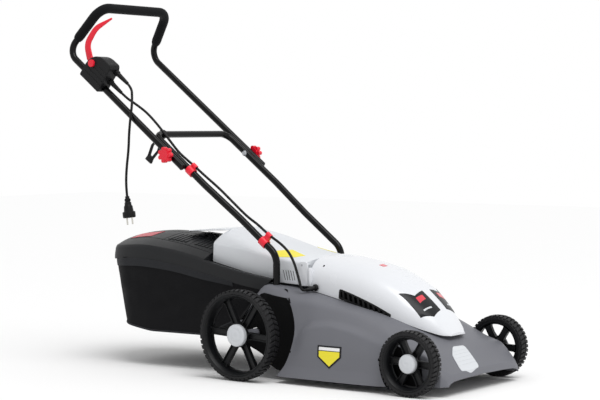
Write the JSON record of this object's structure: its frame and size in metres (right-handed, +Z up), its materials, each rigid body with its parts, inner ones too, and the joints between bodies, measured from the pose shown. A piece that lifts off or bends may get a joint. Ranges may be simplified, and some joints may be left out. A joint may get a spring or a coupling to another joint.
{
  "type": "push lawn mower",
  "caption": "Corded electric push lawn mower: moulded deck on two pairs of wheels, motor cover, rear flap, grass box and folding tubular handle with switch and bail.",
  "frame": {"origin": "on the ground at the centre of the mower's box, seen from above", "axes": "+X forward, +Y to the operator's left, +Z up"},
  "size_m": [1.2638, 0.541, 1.015],
  "materials": {
    "deck_grey": "fine moulded texture",
    "white_plastic": "satin gloss",
    "flap_plastic": "satin",
    "black_plastic": "fine moulded texture",
    "red_plastic": "satin gloss",
    "wheel_plastic": "moulded",
    "tyre_plastic": "moulded tread",
    "cap_plastic": "fine moulded texture",
    "black_tube": "gloss powder coat",
    "foam": "closed-cell foam",
    "bag_fabric": "woven polyester",
    "box_plastic": "moulded",
    "steel": "zinc plated",
    "motor_steel": "painted",
    "lead_rubber": "rubber sheath",
    "pin_brass": "nickel plated"
  },
  "bodies": {
    "chassis": {"deck": "deck_grey", "motor_cover": "white_plastic", "vent_grille_right": "black_plastic", "vent_grille_left": "black_plastic", "motor": "motor_steel", "motor_screws": "steel", "axle_front": "steel", "axle_rear": "steel", "axle_nuts_front": "steel", "axle_nuts_rear": "steel", "handle_lower": "black_tube", "pivot_bolts": "steel", "leg_screws": "steel", "cable_clip_upper": "red_plastic", "cable_clip_lower": "red_plastic", "motor_lead": "lead_rubber", "motor_lead_gland": "lead_rubber", "flap_pin": "steel", "flap_spring": "steel"},
    "wheel_rear_right": {"wheel_rear_right": "wheel_plastic", "tyre_rear_right": "tyre_plastic", "hub_cap_rear_right": "cap_plastic"},
    "wheel_rear_left": {"wheel_rear_left": "wheel_plastic", "tyre_rear_left": "tyre_plastic", "hub_cap_rear_left": "cap_plastic"},
    "wheel_front_right": {"wheel_front_right": "wheel_plastic", "tyre_front_right": "tyre_plastic", "hub_cap_front_right": "cap_plastic"},
    "wheel_front_left": {"wheel_front_left": "wheel_plastic", "tyre_front_left": "tyre_plastic", "hub_cap_front_left": "cap_plastic"},
    "rotor": {"rotor_shaft": "steel", "blade_holder": "black_plastic", "blade": "steel", "blade_nut": "steel"},
    "flap": {"rear_flap": "flap_plastic"},
    "grass_box": {"grass_box_cover": "box_plastic", "grass_bag": "bag_fabric", "grass_box_frame": "black_plastic"},
    "upper_handle": {"handle_upper": "black_tube", "foam_grip": "foam", "handle_end_caps": "black_plastic", "switch_housing_outer": "black_plastic", "switch_housing_inner": "black_plastic", "switch_block": "black_plastic", "power_lead_gland": "lead_rubber", "motor_lead_upper_gland": "lead_rubber", "power_lead": "lead_rubber", "power_plug": "lead_rubber", "plug_pins": "pin_brass"},
    "knob_right": {"knob_right": "red_plastic"},
    "knob_left": {"knob_left": "red_plastic"},
    "bail": {"bail_lever": "red_plastic"},
    "button": {"lock_button": "red_plastic"},
    "hook": {"cable_hook": "black_plastic"}
  },
  "joints": [
    {"name": "wheel_rear_right_spin", "type": "hinge", "parent": "chassis", "child": "wheel_rear_right", "pos_m": [0.037, 0, 0.12], "axis": [0, 1, 0], "continuous": true},
    {"name": "wheel_rear_left_spin", "type": "hinge", "parent": "chassis", "child": "wheel_rear_left", "pos_m": [0.037, 0, 0.12], "axis": [0, 1, 0], "continuous": true},
    {"name": "wheel_front_right_spin", "type": "hinge", "parent": "chassis", "child": "wheel_front_right", "pos_m": [0.545, 0, 0.0825], "axis": [0, 1, 0], "continuous": true},
    {"name": "wheel_front_left_spin", "type": "hinge", "parent": "chassis", "child": "wheel_front_left", "pos_m": [0.545, 0, 0.0825], "axis": [0, 1, 0], "continuous": true},
    {"name": "blade_spin", "type": "hinge", "parent": "chassis", "child": "rotor", "pos_m": [0.32, 0, 0.055], "axis": [0, 0, 1], "continuous": true},
    {"name": "flap_hinge", "type": "hinge", "parent": "chassis", "child": "flap", "pos_m": [0.15, 0, 0.3], "axis": [0, 1, 0], "range_deg": [0, 60], "stiffness_Nm_per_rad": 0.3, "springref_deg": -85.94},
    {"name": "grass_box_lift_off", "type": "slide", "parent": "chassis", "child": "grass_box", "axis": [-1, 0, 0], "range_m": [0, 0.35]},
    {"name": "handle_fold", "type": "hinge", "parent": "chassis", "child": "upper_handle", "pos_m": [-0.2576, 0, 0.58717], "axis": [0, 1, 0], "range_deg": [0, 140], "deforming": ["motor_lead"]},
    {"name": "knob_right_turn", "type": "hinge", "parent": "chassis", "child": "knob_right", "pos_m": [-0.2576, -0.198, 0.58717], "axis": [0, -1, 0], "continuous": true},
    {"name": "knob_left_turn", "type": "hinge", "parent": "chassis", "child": "knob_left", "pos_m": [-0.2576, 0.198, 0.58717], "axis": [0, 1, 0], "continuous": true},
    {"name": "bail_squeeze", "type": "hinge", "parent": "upper_handle", "child": "bail", "pos_m": [-0.52345, -0.1705, 0.84204], "axis": [0, -1, 0], "range_deg": [0, 14], "stiffness_Nm_per_rad": 0.4, "springref_deg": -22.92},
    {"name": "lock_button_push", "type": "slide", "parent": "upper_handle", "child": "button", "axis": [0, 1, 0], "range_m": [0, 0.005], "stiffness_N_per_m": 300, "springref_m": -0.002},
    {"name": "cable_hook_swing", "type": "hinge", "parent": "chassis", "child": "hook", "pos_m": [-0.32989, -0.126, 0.64244], "axis": [0, 1, 0], "range_deg": [-40, 60]}
  ]
}
